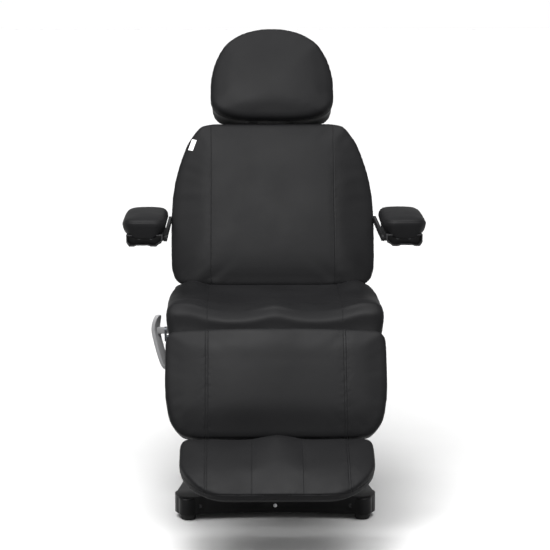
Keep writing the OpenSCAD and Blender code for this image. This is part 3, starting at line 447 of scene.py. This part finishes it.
SEAM, TWIN, FOOT_SEAM, FOOT_TWIN = 0.194, 0.0035, 0.07, 0.003
BOTH, SIDES = (-1, 1), ("left", "right")


def ease(value, start, end):
    """From 0 at the start to 1 at the end, smoothly."""
    t = np.clip((value - start) / (end - start), 0, 1)
    return t * t * (3 - 2 * t)


def hump(value, centre, width):
    """A smooth rise to 1 at its centre."""
    return np.exp(-((value - centre) / width) ** 2)


def upper(q, hi, reach):
    """From 0 to 1 over a section's last stretch before its upper or rear edge."""
    return ease(q[:, 1], hi[1] - reach, hi[1])


def lower(q, lo, reach):
    """From 0 to 1 over a section's last stretch before its lower or front edge."""
    return ease(-q[:, 1], -lo[1] - reach, -lo[1])


def corner(q, x, y, radius, longer=1.0, only=None):
    """The movement that rounds an outline's corners at x, on both sides or one, and y, a direction
    and a place."""
    sx, sy = np.sign(q[:, 0]), y[0]
    a = np.abs(q[:, 0]) - x + radius
    b = (q[:, 1] - y[1]) * sy / longer + radius
    far = np.hypot(a, b)
    out = (a > 0) * (b > 0) * (far > radius)
    if only is not None:
        out = out * (sx == only)
    k = np.where(out, radius / np.maximum(far, 1e-6) - 1, 0)
    return np.stack([a * k * sx, b * k * sy * longer, 0 * k], 1)


# Each form says how far a cushion's points move from its solid: across, along and out of its face.
# In it, t runs from 0 on the underside to 1 on the face.

def seat_form(q, lo, hi):
    """Bolsters that stand up at the rear, fuller sides, and a front that leans back and rolls."""
    bolster, swell_up, roll, rim, lean = 0.028, 0.013, 0.012, 0.005, 0.036
    full, hips, tuck, round_side, longer = 0.004, 0.003, 0.008, 0.009, 0.004
    t, aside, end = (q[:, 2] - lo[2]) / (hi[2] - lo[2]), np.abs(q[:, 0]), upper(q, hi, 0.06)
    out = ease(aside, 0.2, 0.29) * (full + hips * hump(q[:, 1], 0.08, 0.08)
                                    - tuck * ease(q[:, 1], 0.15, 0.26)
                                    - round_side * (2 * t - 1) ** 2)
    crest = hump(q[:, 1], 0.195, 0.07) * hump(aside, 0.25, 0.05)
    front, nose = ease(-q[:, 1], 0.0, 0.1), ease(-q[:, 1], 0.12, -lo[1])
    up = t * (bolster * crest + swell_up * front - roll * nose ** 2 + rim * end)
    return np.stack([np.sign(q[:, 0]) * out, longer * end + lean * t * nose, up], 1)


def back_form(q, lo, hi):
    """Brought out to the edges that its rounding takes away, and falling off towards its sides."""
    wider, taller, deeper, fall_off, shoulder_cut = 0.003, 0.007, 0.004, 0.016, 0.013
    t, aside = (q[:, 2] - lo[2]) / (hi[2] - lo[2]), np.abs(q[:, 0])
    fall = ease(aside, 0.2, 0.33) ** 1.5
    shoulder = ease(aside, 0.17, 0.265) * upper(q, hi, 0.07)
    across = q[:, 0] / hi[0] * (wider - 0.005 * shoulder)
    up = taller * upper(q, hi, 0.12) - deeper * lower(q, lo, 0.12) - shoulder_cut * shoulder
    return np.stack([across, up, -fall_off * t * fall], 1)


def head_form(q, lo, hi):
    """The band under the face slants forward, and the face's lower corners are rounder than it."""
    band, slant, drop, corners, wider = 0.11, 0.016, 0.005, 0.026, 0.001
    t, across = (q[:, 2] - lo[2]) / (hi[2] - lo[2]), q[:, 0] / hi[0]
    low = np.clip((lo[1] + band - q[:, 1]) / band, 0, 1) ** 1.3
    up = low * (slant * t - drop + corners * t * np.abs(across) ** 3)
    return np.stack([across * wider, up, 0 * t], 1)


def leg_form(q, lo, hi):
    """Its upper edge is crowned, and the face turns over softly at all its edges."""
    crown, longer, full, wider = 0.011, 0.004, 0.006, 0.002
    t, across = (q[:, 2] - lo[2]) / (hi[2] - lo[2]), q[:, 0] / hi[0]
    top, low, arch = upper(q, hi, 0.09), lower(q, lo, 0.08), 1 - np.abs(across) ** 2.4
    up = (longer + crown * t * arch) * top - longer * low
    out = full * t * top * arch - full * t * low
    return corner(q, hi[0], (1, hi[1]), 0.034) + np.stack([across * wider, up, out], 1)


def foot_form(q, lo, hi):
    """A low ridge down the middle, and a front that rolls over early, earliest at the ridge."""
    ridge_up, dip_down, roll_down, longer, wider = 0.006, 0.003, 0.017, 0.009, 0.004
    t, aside = (q[:, 2] - lo[2]) / (hi[2] - lo[2]), np.abs(q[:, 0])
    ridge, dip = hump(q[:, 0], 0.005, 0.045), hump(aside, 0.11, 0.05)
    start = 0.075 + 0.035 * ridge - 0.02 * dip
    roll = np.clip((lo[1] + start - q[:, 1]) / start, 0, 1) ** 1.6
    up = longer * upper(q, hi, 0.1) - 0.003 * lower(q, lo, 0.1)
    out = t * (ridge_up * ridge * (1 - roll) - dip_down * dip - roll_down * roll)
    return (corner(q, 0.265, (-1, lo[1]), 0.13, longer=1.3)
            + np.stack([q[:, 0] / hi[0] * wider, up, out], 1))


def arm_form(side):
    """A wide outer corner at the rear, and a nose that hangs a little over the tray's edge."""
    def form(q, lo, hi):
        wider, hang, longer, corner_radius = 0.06, 0.018, 0.004, 0.075
        p = q - ((lo[0] + hi[0]) / 2, 0, 0)
        rounded = corner(p, (hi[0] - lo[0]) / 2, (1, hi[1]), corner_radius, only=side)
        front = ease(-q[:, 1], -lo[1] - 0.022, -lo[1] - 0.004)
        low = ease(-q[:, 2], -lo[2] - 0.024, -lo[2] - 0.004)
        across = np.where(p[:, 0] * side > 0, p[:, 0] * wider, 0)
        return rounded + np.stack([across, -longer * front, -hang * front * low], 1)
    return form


seat_low, seat_top = (corner_at.z for corner_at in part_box("seat_cushion"))
cushion("seat_cushion", "seat", LEVEL,
        [along(s * SEAM, seat_top - 0.035) for s in BOTH] + [boxing(seat_low + 0.016)],
        seat_form, soften=14)
cushion("back_cushion", "back", BACK,
        [along(s * (SEAM - 0.003), 0.05) for s in BOTH] + [boxing(0.052), boxing(0.018)],
        back_form, soften=10)
cushion("headrest_cushion", "headrest", BACK, [boxing(0.072), boxing(0.066, depth=0.0006)],
        head_form, cap=0.006, voxel=0.005, soften=14, evened=16)
cushion("legrest_cushion", "legrest", LEG,
        [along(s * (SEAM + d), 0.06) for s in BOTH for d in (-TWIN, TWIN)] + [boxing(0.062)],
        leg_form)
cushion("footrest_cushion", "footrest", FOOT,
        [along(s * x, 0.03) for s in BOTH for x in (FOOT_SEAM, SEAM - FOOT_TWIN, SEAM + FOOT_TWIN)]
        + [boxing(0.036)], foot_form, voxel=0.005, soften=24, cap=0.009)
for side, s in zip(SIDES, BOTH):
    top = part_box("armrest_pad_" + side)[1].z
    cushion("armrest_pad_" + side, "armrest_" + side, LEVEL, [boxing(top - 0.013, depth=0.0006)],
            arm_form(s), voxel=0.004, cap=0.004, soften=18, evened=14)


# Pieces modelled by hand

def fresh(kind, **settings):
    """Adds a primitive with nothing else chosen."""
    bpy.ops.object.select_all(action="DESELECT")
    getattr(bpy.ops.mesh, kind)(**settings)
    return bpy.context.object


def pick(obj, kind, test):
    """Goes into edit mode with just the faces or edges chosen that pass a test."""
    if obj.mode == "EDIT":
        bpy.ops.object.mode_set(mode="OBJECT")
    bpy.ops.object.select_all(action="DESELECT")
    bpy.context.view_layer.objects.active = obj
    obj.select_set(True)
    bm = bmesh.new()
    bm.from_mesh(obj.data)
    for item in [*bm.verts, *bm.edges, *bm.faces]:
        item.select = False
    for item in (bm.faces if kind == "FACE" else bm.edges):
        if test(item):
            item.select_set(True)
    bm.to_mesh(obj.data)
    bm.free()
    scene.tool_settings.mesh_select_mode = (False, kind == "EDGE", kind == "FACE")
    bpy.ops.object.mode_set(mode="EDIT")


def sharp(edge, least=0.6):
    """An outer edge between two faces, sharp enough to feel."""
    return len(edge.link_faces) == 2 and edge.calc_face_angle_signed(0) > least


def middle(edge):
    """The place halfway along an edge."""
    return (edge.verts[0].co + edge.verts[1].co) / 2


def hand_over(obj, name, slot, body, *nodes, angle=32):
    """Smooths a finished piece, lays its place in its mesh, and gives it its finish and body."""
    if obj.mode == "EDIT":
        bpy.ops.object.mode_set(mode="OBJECT")
    apply_all(obj)
    bpy.ops.object.transform_apply(location=True, rotation=True, scale=True)
    bpy.ops.object.shade_smooth_by_angle(angle=math.radians(angle))
    obj.name = obj.data.name = name
    obj.data.materials.clear()
    obj.data.materials.append(FINISH[slot])
    if nodes:
        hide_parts(*nodes)
    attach(obj, body)
    return obj


def eased(node, name, slot, body, offset, segments, above=0):
    """A copy of a moulded piece with its outer edges above a height rounded off."""
    obj = copy_of(node, name)
    pick(obj, "FACE", lambda f: True)
    bpy.ops.mesh.dissolve_limited(angle_limit=math.radians(0.8))
    pick(obj, "EDGE", lambda e: sharp(e) and middle(e).z > above)
    bpy.ops.mesh.bevel(offset=offset, segments=segments, affect="EDGES", clamp_overlap=True)
    return hand_over(obj, name, slot, body, node)


def pushed_out(radius, points, steps):
    """A small round piece that faces the front: a disc pushed out and resized in steps."""
    disc = fresh("primitive_circle_add", vertices=points, radius=radius, fill_type="NGON",
                 rotation=(math.pi / 2, 0, 0))
    bpy.ops.object.mode_set(mode="EDIT")
    for out, size in steps:
        bpy.ops.mesh.extrude_region_move(TRANSFORM_OT_translate={"value": (0, -out, 0)})
        bpy.ops.transform.resize(value=(size, 1, size), center_override=(0, 0, 0))
    bpy.ops.mesh.select_all(action="SELECT")
    bpy.ops.mesh.normals_make_consistent(inside=False)
    bpy.ops.object.mode_set(mode="OBJECT")
    return disc


def copied(piece, at):
    """A copy of a piece, with its own mesh, put in its place."""
    copy = piece.copy()
    copy.data = piece.data.copy()
    copy.location = at
    scene.collection.objects.link(copy)
    return copy


ROUNDED_ABOVE = 0.03
base_shell = eased("base_cover", "base_shell", "base_plastic", "base", offset=0.0035, segments=3,
                   above=ROUNDED_ABOVE)
for side in SIDES:
    eased("armrest_tray_" + side, "armrest_shell_" + side, "sleeve_plastic", "armrest_" + side,
          offset=0.0013, segments=2)

# A web closes each tray a little way in, and domed caps end the two rails in front of it
tray_low, tray_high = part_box("armrest_tray_right")
TRAY_MIDDLE = (tray_low.x + tray_high.x) / 2 - 0.0005
WEB_Y, WEB_Z = tray_low.y + 0.0268, tray_low.z + 0.01835
WEB_WIDE, WEB_THICK, WEB_HIGH, WEB_CORNER = 0.1, 0.003, 0.031, 0.012
RAIL_Y, RAIL_Z = tray_low.y + 0.0128, tray_low.z + 0.02445
RAIL_ASIDE, RAIL_RADIUS = 0.017, 0.0058
CAP_DOME = ((0.0035, 1.0), (0.001, 0.9), (0.0007, 0.75), (0.0005, 0.55), (0.0002, 0.3))


def inner_foot(edge):
    """Whether an edge is the web's lower one on the chair's side."""
    at = middle(edge)
    return abs(at.x) < TRAY_MIDDLE - 0.4 * WEB_WIDE and at.z < WEB_Z - 0.4 * WEB_HIGH


dome = pushed_out(RAIL_RADIUS, 24, CAP_DOME)
for side, s in zip(SIDES, BOTH):
    web = fresh("primitive_cube_add", size=1, location=(s * TRAY_MIDDLE, WEB_Y, WEB_Z))
    bpy.ops.transform.resize(value=(WEB_WIDE, WEB_THICK, WEB_HIGH))
    bpy.ops.object.transform_apply(location=True, rotation=True, scale=True)
    pick(web, "EDGE", inner_foot)
    bpy.ops.mesh.bevel(offset=WEB_CORNER, segments=2, affect="EDGES")
    hand_over(web, "tray_web_" + side, "sleeve_plastic", "armrest_" + side)
    for i, x in enumerate((TRAY_MIDDLE - RAIL_ASIDE, TRAY_MIDDLE + RAIL_ASIDE)):
        hand_over(copied(dome, (s * x, RAIL_Y, RAIL_Z)), f"rail_cap_{side}_{i + 1}", "drive_grey",
                  "armrest_" + side, angle=40)
bpy.data.objects.remove(dome)

# The lever: a bent paddle with rounded edges and ends, and the lug that carries it. Its sections
# are given in millimetres from the hub: out, up and wide.
HUB = Vector(joints["lever_turn"]["pos_m"]) + Vector((-0.148, 0, 0.022))
PADDLE = [(36, -113, 10), (35, -111, 18), (33, -106.5, 26), (30, -100, 31), (26, -90, 34),
          (20.5, -75, 35), (15, -57, 36), (9, -37, 36), (4, -19, 36), (1, -4, 36), (0.2, 8, 36),
          (1.5, 20, 35.5), (4, 30, 33), (6.3, 38, 28), (8, 43.5, 21), (8.8, 46.5, 13)]
PADDLE_THICK, PADDLE_EDGE, PADDLE_TURN = 0.012, 0.0042, math.radians(-26)
LUG_ASIDE, LUG_SIZE, LUG_EDGE = Vector((0.0195, 0.001, 0)), (0.035, 0.015, 0.019), 0.0022
x, z, wide = (v / 1000 for v in PADDLE[0])
lever = fresh("primitive_plane_add", size=1, location=(x, 0, z))
bpy.ops.transform.resize(value=(PADDLE_THICK, wide, 1))
bpy.ops.object.transform_apply(location=True, rotation=True, scale=True)
bpy.ops.object.mode_set(mode="EDIT")
bpy.ops.mesh.select_all(action="SELECT")
for (x0, z0, w0), (x1, z1, w1) in zip(PADDLE, PADDLE[1:]):
    bpy.ops.mesh.extrude_region_move(
        TRANSFORM_OT_translate={"value": ((x1 - x0) / 1000, 0, (z1 - z0) / 1000)})
    bpy.ops.transform.resize(value=(1, w1 / w0, 1), center_override=(x1 / 1000, 0, z1 / 1000))
bpy.ops.mesh.select_all(action="SELECT")
bpy.ops.mesh.normals_make_consistent(inside=False)
pick(lever, "EDGE", lambda e: sharp(e, 0.5))
bpy.ops.mesh.bevel(offset=PADDLE_EDGE, segments=4, affect="EDGES", clamp_overlap=True)
bpy.ops.object.mode_set(mode="OBJECT")
lever.matrix_world = Matrix.Translation(HUB) @ Matrix.Rotation(PADDLE_TURN, 4, "Z")
bpy.ops.object.transform_apply(location=True, rotation=True, scale=True)
lug = fresh("primitive_cube_add", size=1, location=HUB + LUG_ASIDE)
bpy.ops.transform.resize(value=LUG_SIZE)
bpy.ops.object.transform_apply(location=True, rotation=True, scale=True)
pick(lug, "EDGE", sharp)
bpy.ops.mesh.bevel(offset=LUG_EDGE, segments=3, affect="EDGES")
bpy.ops.object.mode_set(mode="OBJECT")
lever.select_set(True)
bpy.context.view_layer.objects.active = lever
bpy.ops.object.join()
hand_over(lever, "lever_paddle", "lever_grey", "lever", "lock_lever", angle=50)

# Round plugs in the front of the base, over its fixing screws
PLUG_X, PLUG_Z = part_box("base_cover")[1].x - 0.0734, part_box("base_cover")[0].z + 0.024
PLUG_RADIUS, PLUG_SUNK = 0.0062, 0.001
PLUG_FACE = ((0.0018, 1.0), (0.0005, 0.9), (0.0, 0.72), (-0.0006, 0.9), (0.0, 0.5))
plug = pushed_out(PLUG_RADIUS, 28, PLUG_FACE)
for i, s in enumerate(BOTH):
    at = base_shell.ray_cast(Vector((s * PLUG_X, -1, PLUG_Z)), Vector((0, 1, 0)))[1]
    hand_over(copied(plug, (s * PLUG_X, at.y + PLUG_SUNK, PLUG_Z)), f"base_plug_{i + 1}",
              "sleeve_plastic", "base", angle=40)
bpy.data.objects.remove(plug)

# The blank ribbon label sewn into the left edge of the back, laid on the leather
TAG_WIDE, TAG_LONG, TAG_THICK = 0.015, 0.037, 0.0005
TAG_ACROSS, TAG_ALONG, TAG_LEAN = -0.249, 0.5245, math.radians(-19)
TAG_CLEAR, TAG_CURL, ABOVE_BACK = 0.0009, 0.0006, 0.15
back = bpy.data.objects["back_upholstery"]
tag = fresh("primitive_grid_add", x_subdivisions=10, y_subdivisions=22, size=1)
into = BACK.to_3x3() @ Vector((0, 0, -1))
points = []
for x, y, _ in fetch(tag.data) * (TAG_WIDE, TAG_LONG, 0):
    across = TAG_ACROSS + x * math.cos(TAG_LEAN) - y * math.sin(TAG_LEAN)
    up = TAG_ALONG + x * math.sin(TAG_LEAN) + y * math.cos(TAG_LEAN)
    _, at, normal, _ = back.ray_cast(BACK @ Vector((across, up, ABOVE_BACK)), into)
    curl = TAG_CURL * (0.5 - y / TAG_LONG) * (x / TAG_WIDE + 0.5)
    points.append(list(at + normal * (TAG_CLEAR + curl)))
store(tag.data, np.array(points))
mod = tag.modifiers.new("ribbon", "SOLIDIFY")
mod.thickness = TAG_THICK
mod.offset = 1
hand_over(tag, "ribbon_label", "eco_leather", "back", angle=60)
tag.data.materials[0] = RIBBON


# Floor, light and sky

FLOOR_SIZE, FLOOR_BELOW = 60, 0.0005
floor = fresh("primitive_plane_add", size=FLOOR_SIZE, location=(0, 0, -FLOOR_BELOW))
floor.name = "studio_floor"
mat, tree, place = material("pale_floor")
speck = add(tree, "ShaderNodeTexNoise", Vector=place, Scale=1 / 0.25, Detail=2.0).outputs["Fac"]
tone = add(tree, "ShaderNodeValToRGB", stops=[(0.3, "b7b7b7"), (0.7, "b9b9b9")], Fac=speck)
floor.data.materials.append(coat(mat, Base_Color=tone.outputs[0], Roughness=0.85,
                                 Specular_IOR_Level=0.1))

# The sky is white low down, grey above that and pale at the top, dimmed behind the object, with
# one wide softbox high in front
world = bpy.data.worlds.new("studio_sky")
scene.world = world
world.use_nodes = True
tree = world.node_tree
tree.nodes.clear()
toward = add(tree, "ShaderNodeTexCoord").outputs["Generated"]
sides = add(tree, "ShaderNodeSeparateXYZ", i0=toward).outputs
shade = add(tree, "ShaderNodeValToRGB", Fac=sides[2], stops=[
    (0.0, "bcbcbc"), (0.07, "bcbcbc"), (0.17, "888888"), (0.5, "8f8f8f"), (0.9, "dcdcdc")])
rear = add(tree, "ShaderNodeMath", {"operation": "MULTIPLY"}, i0=sides[1], i1=sides[2])
behind = add(tree, "ShaderNodeMapRange", i0=rear.outputs[0], i1=0.04, i2=0.4, i3=2.0, i4=0.9)
aim = add(tree, "ShaderNodeVectorMath", {"operation": "DOT_PRODUCT"}, i0=toward,
          i1=(-0.1, -0.25, 0.963))
box = add(tree, "ShaderNodeMapRange", i0=aim.outputs["Value"], i1=0.76, i2=0.91, i3=0.0, i4=5.0)
glow = add(tree, "ShaderNodeMath", {"operation": "MULTIPLY_ADD"}, i0=shade.outputs[0],
           i1=behind.outputs[0], i2=box.outputs[0])
sky = add(tree, "ShaderNodeBackground", Color=(1, 1, 1, 1), Strength=glow.outputs[0])
add(tree, "ShaderNodeOutputWorld", Surface=sky.outputs[0])
scene.view_settings.view_transform = "Standard"

LAMP_AT, LAMP_AIM = Vector((-0.3, -1.0, 2.2)), Vector((0, 0.6, 1.25))
lamp = bpy.data.lights.new("softbox_head", "AREA")
lamp.shape = "DISK"
lamp.size = 0.9
lamp.energy = 50
lamp_stand = bpy.data.objects.new("softbox_head", lamp)
scene.collection.objects.link(lamp_stand)
lamp_stand.location = LAMP_AT
lamp_stand.rotation_euler = (LAMP_AIM - LAMP_AT).to_track_quat("-Z", "Y").to_euler()
